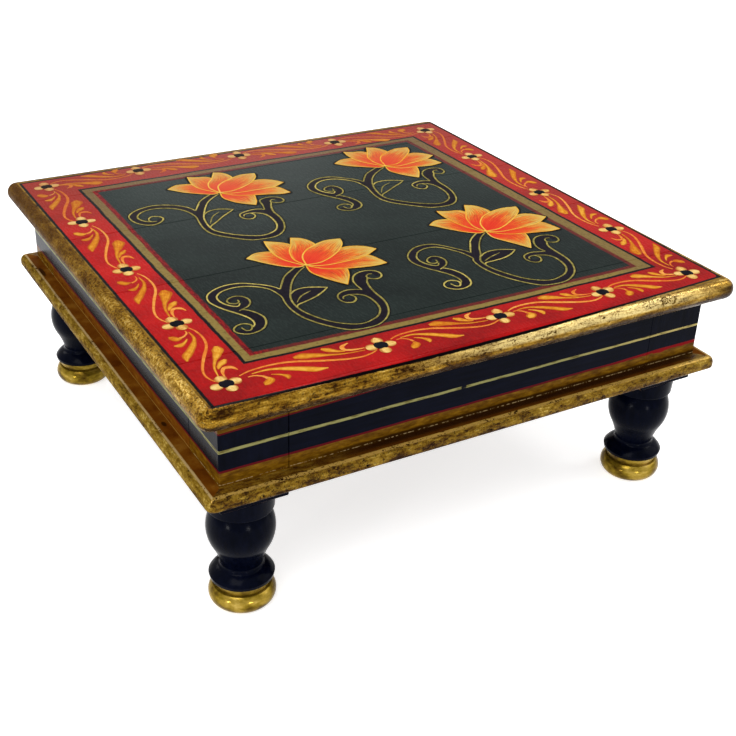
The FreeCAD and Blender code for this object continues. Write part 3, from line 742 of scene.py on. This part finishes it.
# Each petal has its two edges, from the heart to the tip, and its layer, 0 for the lowest.
PETALS = [
    ([(-57, -45.5), (-62, -45.5), (-70, -40), (-78, -30.5), (-83, -23), (-86.2, -19.2)],
     [(-56, -45), (-61, -35), (-65, -22), (-67, -16.5), (-70, -14.6), (-78, -14), (-86.2, -19.2)], 0),
    ([(-57, -44.5), (-60, -40), (-65, -31), (-66.8, -20), (-65.5, -8), (-63.5, 2)],
     [(-55.5, -44), (-54, -34), (-50.5, -18), (-50, -11), (-53, -6), (-58, -2), (-63.5, 2)], 1),
    ([(-56, -44.5), (-58.5, -36), (-58, -29), (-55, -20), (-50, -12), (-44.5, -0.5)],
     [(-54, -44), (-48, -34), (-38, -22), (-34.5, -17.5), (-35.5, -10), (-39, -4), (-44.5, -0.5)], 2),
    ([(-55.8, -46.5), (-57.5, -56), (-55, -65), (-51, -73), (-45, -83)],
     [(-54.5, -47), (-45, -52), (-36, -57), (-34, -62), (-37, -70), (-40.5, -76), (-45, -83)], 0),
    ([(-54, -47), (-45, -48), (-30, -48), (-18, -48), (-11, -48.5), (-8, -54), (-5.5, -65)],
     [(-54.5, -47.5), (-48, -54.5), (-41, -59), (-33, -61.5), (-23, -64), (-13, -65.5), (-5.5, -65)], 1),
    ([(-54, -46), (-45, -42), (-30, -34), (-21.5, -31), (-16, -30.5), (-9, -33), (-4, -37), (-0.5, -42)],
     [(-54.5, -46.5), (-48, -50), (-40, -51.5), (-30, -51.5), (-18, -50.5), (-11, -48.5), (-0.5, -42)], 2),
    ([(-55, -44.5), (-53, -36), (-50, -30), (-44, -23.5), (-38, -20), (-32, -17), (-24, -15), (-14.5, -16.5)],
     [(-55, -45.5), (-46, -46), (-38, -43), (-30, -38), (-23, -32), (-17, -24), (-14.5, -16.5)], 3),
]

# The lines of the stem, bowl, curls and leaf.
STEM_LEFT = [(-61, -43.5), (-69, -49), (-76, -55), (-81, -62), (-86.5, -70.5)]
BOWL_INNER = [
    (-57.5, -47), (-64, -52), (-71, -59), (-77, -67), (-82, -76), (-86, -84), (-88, -92), (-88.3, -100),
    (-87, -107), (-83.5, -116), (-78, -125), (-70, -132), (-63, -134.5), (-56, -133), (-49, -129),
    (-44, -122), (-42, -114), (-42, -106), (-44, -100.5), (-48, -97.5), (-52, -96.5), (-56, -97.5),
    (-57.5, -100.5),
]
BOWL_OUTER = [
    (-91, -74), (-90.5, -81), (-92, -88), (-93, -96), (-92.8, -104), (-91, -113), (-87, -122), (-81, -131),
    (-75, -137.5), (-70, -139.7), (-62, -140.6), (-55, -139.7), (-48, -135.5), (-42, -129), (-37.5, -120),
    (-35.5, -111), (-35.2, -101), (-34, -92), (-32, -85), (-29, -80), (-28, -77), (-25.5, -75), (-23, -75.5),
]
CURL_RIGHT = [
    (-40.5, -93.5), (-40.5, -86), (-39, -79), (-35, -73), (-30, -70), (-25, -69.5), (-20, -71.5),
    (-17.5, -76), (-19, -81), (-23, -83.5), (-27, -82), (-28.5, -79.5),
]
CURL_INNER = [
    (-40.5, -93.5), (-44, -91.5), (-49, -90), (-54, -91), (-58.5, -94.5), (-60.2, -100), (-58.5, -105),
    (-54.5, -106.8), (-51, -104.5), (-49.5, -100.5), (-51, -97),
]
HOOK_OUTER = [
    (-86.5, -70.5), (-88.5, -66), (-92, -61.5), (-98, -56.5), (-105, -52), (-113, -50.5), (-121, -52),
    (-128, -56), (-132, -61), (-133.5, -68), (-132, -75), (-129, -82), (-125, -89), (-121.5, -96),
    (-120.2, -102), (-121, -107), (-123.5, -110),
]
HOOK_INNER = [
    (-91, -74), (-92.5, -68), (-96, -63), (-101, -59), (-107, -56.5), (-114, -56), (-121, -58),
    (-126, -62.5), (-127.5, -68), (-126.5, -74), (-123.5, -79), (-120, -81), (-117.5, -78),
]
HOOK_SPIRAL = [
    (-120, -86), (-115, -84), (-111.5, -80), (-110.2, -75), (-112, -70), (-116, -67.5), (-120.5, -68.5),
    (-123.2, -71.5), (-123, -75), (-120, -77.2), (-117.2, -76), (-116.8, -73),
]
TAIL = [
    (-122, -87), (-119, -86.5), (-115.5, -90.5), (-113, -96), (-112.2, -102), (-114.5, -109),
    (-119, -114.5), (-125, -117), (-130, -116.8), (-134, -114), (-135.5, -110), (-133.5, -106),
    (-129.5, -103.8), (-126, -104.2), (-123.5, -107), (-124, -110), (-126.5, -113), (-129, -112),
    (-130, -108),
]
LEAF_UPPER = [(-83.5, -79.5), (-79, -76), (-73, -75), (-66, -77), (-58.5, -81)]
LEAF_LOWER = [(-88, -97.5), (-86, -95), (-80, -93), (-72, -90), (-65, -86), (-58.5, -81)]
LEAF_VEIN = [(-85.5, -92), (-79, -85), (-70.5, -81)]

# The dark ribbon inside those lines: its middle line and its widths.
STEM_BODY = [(-60, -45.5), (-67, -51), (-74, -57.5), (-80, -66), (-86, -76), (-88.5, -84), (-90.3, -96),
             (-89.5, -110), (-84.5, -122), (-76, -133), (-68, -136.8), (-60, -137.6), (-53, -135.2),
             (-45.5, -128.5), (-40.5, -119), (-38.6, -108), (-38, -98), (-36.5, -86), (-33, -78),
             (-28, -73.5), (-23.5, -72.5), (-20.5, -75.5), (-21.5, -79.5)]
STEM_WIDTHS = (4.5, 5.5, 6.5, 7, 6, 5, 4.6, 4.6, 5.4, 5.4, 5.6,
               6, 6.4, 6.4, 6.4, 6.4, 6.4, 6, 5.5, 4.6, 3.6, 2)
CURL_BODY = [(-39, -104), (-43, -97.5), (-49.5, -93.5), (-55.5, -95), (-58.7, -100), (-56.5, -104.5),
             (-52.6, -103)]
CURL_WIDTHS = (6, 6, 5, 4.5, 3.5, 2.5, 1.5)
HOOK_BODY = [(-87.5, -76), (-91, -67), (-96, -60), (-104, -55.5), (-113, -53.3), (-122, -55), (-129, -61.5),
             (-130.4, -69), (-128, -78), (-122.5, -87)]
HOOK_WIDTHS = (4.5, 5, 5, 5, 5, 5.5, 6, 6, 5.5, 6)
TAIL_BODY = [(-123, -85), (-118.5, -93), (-116.4, -101), (-118, -109), (-123.5, -114), (-130, -114.5),
             (-133, -110)]
TAIL_WIDTHS = (5, 7.5, 8.5, 7, 5, 4, 2.5)
SPIRAL_BODY = [(-126, -78), (-120, -83), (-114.5, -80), (-112.8, -75), (-114.8, -70.8), (-119, -69.8),
               (-121.4, -73)]
SPIRAL_WIDTHS = (5, 6, 4.5, 4, 3.5, 2.5, 1.5)

# The hook of the back-left motif turns into its spiral at once and has no tail.
SHORT_HOOK_OUTER = [
    (-83.5, 74), (-86, 82), (-92, 89), (-100, 94), (-109, 96), (-118, 94), (-125, 90), (-130, 84), (-131, 77),
    (-129.5, 70), (-126, 65), (-121, 62), (-116, 63), (-111.5, 66.5), (-109.5, 71), (-111.5, 75),
    (-115.5, 76.5), (-118.5, 74.5), (-120, 70.5), (-118.5, 67),
]
SHORT_HOOK_INNER = [
    (-88, 66), (-89, 73), (-91.5, 79), (-96, 84.5), (-103, 88.5), (-110, 90), (-117, 88.5), (-123, 84),
    (-125.5, 78), (-124, 72), (-120, 68), (-115.5, 67),
]
SHORT_HOOK_BODY = [(-85.5, 70), (-88.5, 80), (-94, 87), (-101, 91), (-110, 93), (-119, 91), (-126, 85.5),
                   (-128.3, 77), (-126, 69.5), (-121, 65), (-115.5, 65.2), (-112, 70)]
SHORT_HOOK_WIDTHS = (4.5, 5, 5, 5, 5, 5.5, 6, 6, 5, 4, 3, 2)

# Where the same marks of the motif lie in each of its four copies: the petals' tips, heart, fork, leaf tip,
# the two curls, bottom and sides of the bowl, bottom of the tail, top and side of the hook.
MARKS = [
    (-86.2, -19.2), (-63.5, 2), (-44.5, -0.5), (-14.5, -16.5), (-0.5, -42), (-5.5, -65), (-45, -83),
    (-55.5, -44.5), (-86.5, -70.5), (-58.5, -81), (-25, -69.5), (-55, -101), (-64, -140.5), (-93, -96),
    (-35.2, -103), (-127, -117), (-113, -50.5), (-133.5, -68),
]
BACK_LEFT = [
    (-86, 122), (-63, 140), (-41, 141), (-13, 126), (-1, 99), (-5.5, 78), (-39.5, 66),
    (-53.5, 100), (-83.5, 74), (-58, 65), (-24, 76), (-54, 49), (-60, 6.5), (-91, 42),
    (-33.7, 46), (-123, 28), (-109, 96), (-131, 77),
]
BACK_RIGHT = [
    (55, 120), (75, 142), (97.5, 143.5), (128.5, 129.5), (137.5, 104), (134.5, 86), (100, 65),
    (89, 99), (56, 75), (85, 64), (120.5, 79), (91, 48), (84, 5), (49, 44),
    (108.7, 46), (20, 27), (31.2, 96.2), (10, 76),
]
FRONT_RIGHT = [
    (55, -22), (74, -1.5), (99, -0.5), (132, -19.5), (140.5, -45), (136, -67.5), (96.5, -86.5),
    (85, -48), (54.5, -75), (85, -84), (117, -71.5), (87, -102), (77, -140.5), (47.5, -94),
    (108.7, -103), (18, -120), (31.2, -50), (10, -71),
]


# A mark pulls on a point by the inverse of their distance, and this much more, to this power.
MARK_SOFT, MARK_POWER = 0.5, 3


def carried(points, marks):
    """Points of the front-left motif, carried to a copy whose marks are given."""
    moved = []
    for x, y in points:
        total = dx = dy = 0.0
        for (mx, my), (tx, ty) in zip(MARKS, marks):
            weight = 1.0 / (MARK_SOFT + math.hypot(x - mx, y - my)) ** MARK_POWER
            total += weight
            dx += weight * (tx - mx)
            dy += weight * (ty - my)
        moved.append((x + dx / total, y + dy / total))
    return moved


petals = Brush("lotus_petals", petal_paint())
petal_lines = Brush(
    "lotus_petal_lines",
    stroke_paint("petal_line", rgb(220, 142, 38), rgb(228, 172, 58), rgb(228, 194, 96)),
)
shadows = Brush("lotus_shadows", stroke_paint("shadow_paint", rgb(16, 16, 16), rgb(26, 28, 28)))
ribbons = Brush(
    "scroll_ribbons",
    stroke_paint("ribbon_paint", rgb(19, 15, 22), rgb(33, 29, 37), painted_sheen=rgb(62, 55, 50)),
)
scrolls = Brush(
    "scroll_lines",
    stroke_paint("scroll_line", rgb(104, 96, 46), rgb(156, 144, 74), rgb(206, 186, 100)),
)

LINE_WIDTHS = (0.9, 1.2, 1.0, 1.3, 0.9)
VEIN_WIDTHS = (0.5, 1.0, 0.5)
SHADOW_WIDTHS = (2.6, 3.0, 2.8, 3.0, 2.6)
PETAL_SHADOW_WIDTHS = (2.0, 4.0, 3.6, 4.0, 2.0)
PETAL_LINE_WIDTHS = (1.1, 1.0, 0.9, 0.9, 0.6)
HEART = (-55.4, -45.4)

# How high the layers of paint lie above the boards, in millimetres. Each layer of petals adds PETAL_STEP.
SHADOW_LIFT, PETAL_SHADOW_LIFT, SHADOW_SWELL = 0.01, 0.012, 0.01
RIBBON_LIFT, SHORT_HOOK_LIFT, LEAF_LIFT, LINE_LIFT = 0.04, 0.045, 0.05, 0.08
PETAL_LIFT, PETAL_STEP, PETAL_SWELL = 0.14, 0.09, 0.05
PETAL_LINE_LIFT, PETAL_LINE_SWELL, HEART_LIFT = 0.05, 0.03, 0.46


def lotus(marks, short_hook, dark_leaf, rng):
    """One lotus with its stem, bowl, curls, leaf and hook. At the front the leaf is filled in."""
    bodies = [(STEM_BODY, STEM_WIDTHS), (CURL_BODY, CURL_WIDTHS)]
    lines = [STEM_LEFT, BOWL_INNER, BOWL_OUTER, CURL_RIGHT, CURL_INNER, LEAF_UPPER, LEAF_LOWER]
    if not short_hook:
        bodies += [(HOOK_BODY, HOOK_WIDTHS), (TAIL_BODY, TAIL_WIDTHS), (SPIRAL_BODY, SPIRAL_WIDTHS)]
        lines += [HOOK_OUTER, HOOK_INNER, HOOK_SPIRAL, TAIL]
    for points, widths in bodies:
        ribbons.stroke(carried(points, marks), widths, RIBBON_LIFT, rng.random(), FLAT)
    if dark_leaf:
        upper, lower = (evenly(smooth(carried(side, marks)), 18) for side in (LEAF_UPPER, LEAF_LOWER))
        ribbons.strip(upper, lower, LEAF_LIFT, FLAT)
    placed = [carried(line, marks) for line in lines]
    if short_hook:
        ribbons.stroke(SHORT_HOOK_BODY, SHORT_HOOK_WIDTHS, SHORT_HOOK_LIFT, rng.random(), FLAT)
        placed += [SHORT_HOOK_OUTER, SHORT_HOOK_INNER]
    for line in placed:
        shadows.stroke(line, SHADOW_WIDTHS, SHADOW_LIFT, rng.random(), SHADOW_SWELL)
        scrolls.stroke(line, LINE_WIDTHS, LINE_LIFT, rng.random())
    scrolls.stroke(carried(LEAF_VEIN, marks), VEIN_WIDTHS, LINE_LIFT, 0.1)
    for left, right, layer in PETALS:
        left, right = carried(left, marks), carried(right, marks)
        lift, shade = PETAL_LIFT + PETAL_STEP * layer, rng.random()
        outline = left + right[-2::-1]
        shadows.stroke(outline, PETAL_SHADOW_WIDTHS, PETAL_SHADOW_LIFT, rng.random(), SHADOW_SWELL)
        sides = [evenly(smooth(side, 6), 30) for side in (left, right)]
        petals.strip(sides[0], sides[1], lift, PETAL_SWELL, 8, shade)
        for side in (left, right):
            petal_lines.stroke(side, PETAL_LINE_WIDTHS, lift + PETAL_LINE_LIFT, shade, PETAL_LINE_SWELL)
    petal_lines.blob(carried([HEART], marks)[0], 3.6, 2.4, 2.0, HEART_LIFT, 0.9)


strokes = random.Random(7)
for marks, short_hook, dark_leaf in (
    (MARKS, False, True), (BACK_LEFT, True, False), (BACK_RIGHT, False, False), (FRONT_RIGHT, False, True)
):
    lotus(marks, short_hook, dark_leaf, strokes)


# ---------------------------------------------------------------- the painted border

# Small flowers round the border, from the front-left corner to the right, and on round the top.
FLOWERS = [
    (-164.5, -164.5), (-67.5, -163.4), (16.7, -163), (95.6, -163.9),
    (165.8, -165.3), (169.3, -84), (166.8, -2), (166, 88.5),
    (167.2, 163), (80.3, 167.3), (-6, 170), (-91.5, 170),
    (-165, 165), (-163, 87.8), (-162.3, -1), (-161.8, -86.5),
]

# One spray between two flowers. A point is its share of the way to the next flower and how far it lies
# towards the panel, in millimetres. After the points come the stroke's widths.
VINES = [
    ([(0.10, 4.0), (0.17, 6.3), (0.27, 7.2), (0.37, 6.6), (0.46, 4.4), (0.55, 0.8), (0.64, -2.5),
      (0.74, -5.6), (0.83, -6.9), (0.90, -5.9), (0.95, -4.0)], (0.9, 1.4, 1.8, 2.2, 1.8, 1.3, 0.9)),
    ([(0.84, 11), (0.79, 9), (0.78, 5.2), (0.83, 2.8), (0.90, 2.0)], (0.9, 2.8, 2.0, 0.8)),
    ([(0.14, 1.6), (0.18, 1.4), (0.22, -1.2), (0.235, -4.2)], (0.7, 1.2, 2.0)),
]
LEAVES = [
    ([(0.235, -4.2), (0.232, -7.2), (0.20, -9.5), (0.18, -10.8)], (1.6, 5.0, 4.4, 0.8)),
    ([(0.27, -1.0), (0.315, -3.6), (0.345, -7.2), (0.335, -10.4)], (0.8, 1.6, 3.6, 1.0)),
    ([(0.17, 3.0), (0.27, 3.2), (0.36, 0.2), (0.45, -4.5), (0.52, -8.6), (0.59, -10.2)],
     (0.8, 1.8, 3.6, 4.6, 1.0)),
    ([(0.46, 10.0), (0.52, 9.4), (0.59, 7.0), (0.67, 3.6), (0.76, 0.8), (0.88, -0.6)],
     (2.6, 6.8, 4.8, 2.2, 1.4, 0.8)),
    ([(0.665, 10.8), (0.70, 7.8), (0.74, 4.6), (0.78, 2.8)], (1.8, 4.0, 2.4, 0.8)),
]

vines = Brush(
    "border_vines",
    stroke_paint("vine_paint", rgb(204, 92, 34), rgb(222, 130, 50), rgb(232, 168, 82), painted_sheen=rgb(164, 84, 48)),
)
leaves = Brush(
    "border_leaves",
    stroke_paint(
        "leaf_paint", rgb(190, 96, 24), rgb(212, 140, 36), rgb(230, 172, 66),
        edge=rgb(172, 78, 20), painted_sheen=rgb(166, 92, 44),
    ),
)
flower_petals = Brush(
    "border_flower_petals",
    stroke_paint(
        "flower_paint", rgb(196, 134, 60), rgb(228, 186, 104), rgb(236, 206, 134),
        edge=rgb(170, 96, 36), painted_sheen=rgb(176, 128, 88),
    ),
)
flower_hearts = Brush(
    "border_flower_hearts",
    stroke_paint("heart_paint", rgb(8, 8, 13), rgb(22, 22, 30), painted_sheen=rgb(48, 36, 30)),
)


# How high the border's paint lies above the boards. Each petal of a flower lies FLOWER_STEP above the last.
SPRAY_LIFT, FLOWER_LIFT, FLOWER_STEP, FLOWER_HEART_LIFT = 0.05, 0.10, 0.01, 0.2


def spray(start, end, rng):
    """The vines and leaves from one flower to the next."""
    start, end = Vector(start), Vector(end)
    along = end - start
    inward = Vector((-along.y, along.x)).normalized()
    for brush, group, slack, full in ((vines, VINES, 0.5, 1.0), (leaves, LEAVES, 0.8, 1.15)):
        for points, widths in group:
            shift = Vector((rng.uniform(-1, 1), rng.uniform(-1, 1))) * slack
            reach = rng.uniform(0.92, 1.08)
            placed = [start + along * a + inward * s * reach + shift for a, s in points]
            size = rng.uniform(0.85, 1.15) * full
            brush.stroke(placed, [w * size for w in widths], SPRAY_LIFT, rng.random())


def flower(centre, rng):
    """A dark heart with four round petals."""
    turn = rng.uniform(-0.2, 0.25)
    for k in range(4):
        angle = turn + k * math.pi / 2 + rng.uniform(-0.12, 0.12)
        reach = rng.uniform(5.5, 6.2)
        spot = Vector(centre) + Vector((math.cos(angle), math.sin(angle))) * reach
        long, wide = rng.uniform(7.0, 7.9), rng.uniform(6.8, 7.6)
        flower_petals.blob(spot, long, wide, angle, FLOWER_LIFT + FLOWER_STEP * k, rng.random())
    long, wide = rng.uniform(8.4, 9.0), rng.uniform(8.2, 8.8)
    flower_hearts.blob(centre, long, wide, 0.3, FLOWER_HEART_LIFT, rng.random())


for start, end in zip(FLOWERS, FLOWERS[1:] + FLOWERS[:1]):
    spray(start, end, strokes)
    flower(start, strokes)

for brush in (
    shadows, ribbons, scrolls, petals, petal_lines, vines, leaves, flower_petals, flower_hearts
):
    brush.done()


# ---------------------------------------------------------------- floor, light and camera


# The world's light on the table, and the glow that makes the floor look white to the camera.
WORLD_STRENGTH = 0.42
FLOOR_GLOW = 0.68


def seen_directly(tree):
    """1 for what the camera, a reflection or clear material sees, 0 for light that falls on things."""
    path = tree.nodes.new("ShaderNodeLightPath")
    seen = Field(tree, path.outputs["Is Camera Ray"])
    for ray in ("Is Glossy Ray", "Is Transmission Ray"):
        seen = seen.high(Field(tree, path.outputs[ray]))
    return seen


def floor():
    """A large pale floor."""
    mesh = bpy.data.meshes.new("studio_floor")
    half = 6.0
    corners = [(-half, -half, 0), (half, -half, 0), (half, half, 0), (-half, half, 0)]
    mesh.from_pydata(corners, [], [(0, 1, 2, 3)])
    f = Finish("studio_floor")
    dust = f.grain((400, 400, 400), 2)
    f.done(f.ramp(dust, *FLOOR_TONES), 0.9)
    f.shader.inputs["Emission Color"].default_value = (1, 1, 1, 1)
    f.link(seen_directly(f.tree) * FLOOR_GLOW, f.shader.inputs["Emission Strength"])
    mesh.materials.append(f.material)
    plane = bpy.data.objects.new("studio_floor", mesh)
    bpy.context.scene.collection.objects.link(plane)


def backdrop_light(strength):
    """An even world light, which the camera and reflections see as plain white."""
    world = bpy.data.worlds.new("studio")
    bpy.context.scene.world = world
    world.use_nodes = True
    tree = world.node_tree
    shader = tree.nodes["Background"]
    shader.inputs["Color"].default_value = (1, 1, 1, 1)
    seen = seen_directly(tree) * (1.0 - strength) + strength
    tree.links.new(seen.socket, shader.inputs["Strength"])


def soft_box(name, place, aim, size, power):
    """A large square lamp at place, turned towards aim."""
    lamp = bpy.data.lights.new(name, "AREA")
    lamp.shape, lamp.size, lamp.energy = "SQUARE", size, power
    piece = bpy.data.objects.new(name, lamp)
    bpy.context.scene.collection.objects.link(piece)
    piece.location = place
    piece.rotation_euler = (Vector(aim) - Vector(place)).to_track_quat("-Z", "Y").to_euler()


CAMERA_PLACE = (-0.3829, -0.6812, 0.4804)
CAMERA_TURN, CAMERA_TILT, CAMERA_ROLL = math.radians(-30.69), math.radians(29.11), math.radians(2.04)
CAMERA_LENS, CAMERA_SENSOR = 58.32, 36.0
CAMERA_NEAR = 0.01


def camera():
    """The camera at the photograph's viewing angle."""
    level = math.cos(CAMERA_TILT)
    back = Vector(
        (math.sin(CAMERA_TURN) * level, -math.cos(CAMERA_TURN) * level, math.sin(CAMERA_TILT))
    )
    right = Vector((math.cos(CAMERA_TURN), math.sin(CAMERA_TURN), 0))
    up = back.cross(right)
    c, s = math.cos(CAMERA_ROLL), math.sin(CAMERA_ROLL)
    right, up = right * c + up * s, up * c - right * s
    data = bpy.data.cameras.new("photo_camera")
    data.lens, data.sensor_width, data.clip_start = CAMERA_LENS, CAMERA_SENSOR, CAMERA_NEAR
    piece = bpy.data.objects.new("photo_camera", data)
    bpy.context.scene.collection.objects.link(piece)
    turn = Matrix((right, up, back)).transposed().to_4x4()
    piece.matrix_world = Matrix.Translation(CAMERA_PLACE) @ turn
    bpy.context.scene.camera = piece


# Lamps: name, place, what they point at, side length in metres, power in watts.
LAMPS = [
    ("key_light", (-1.1, -0.9, 1.9), (0, 0, 0.1), 1.2, 19.0),
    ("fill_light", (1.6, -0.8, 1.2), (0, 0, 0.1), 1.4, 7.0),
    ("back_light", (0.45, 0.85, 1.6), (0.0, 0.0, 0.15), 0.7, 12.0),
    ("far_light", (0.42, 1.2, 0.45), (0.0, 0.17, 0.16), 0.4, 0.5),
    ("right_light", (1.2, -0.2, 1.3), (0.1, -0.19, 0.15), 0.3, 3.0),
    ("left_light", (-0.6, 1.15, 0.85), (-0.19, -0.1, 0.15), 0.3, 1.5),
    ("low_light_left", (-1.44, -0.71, 0.22), (-0.15, -0.15, 0.06), 0.14, 3.2),
    ("low_light_front", (-0.13, -1.73, 0.22), (-0.1, -0.15, 0.06), 0.14, 3.2),
]

floor()
backdrop_light(WORLD_STRENGTH)
for lamp in LAMPS:
    soft_box(*lamp)
camera()

bpy.context.scene.view_settings.view_transform = "Standard"
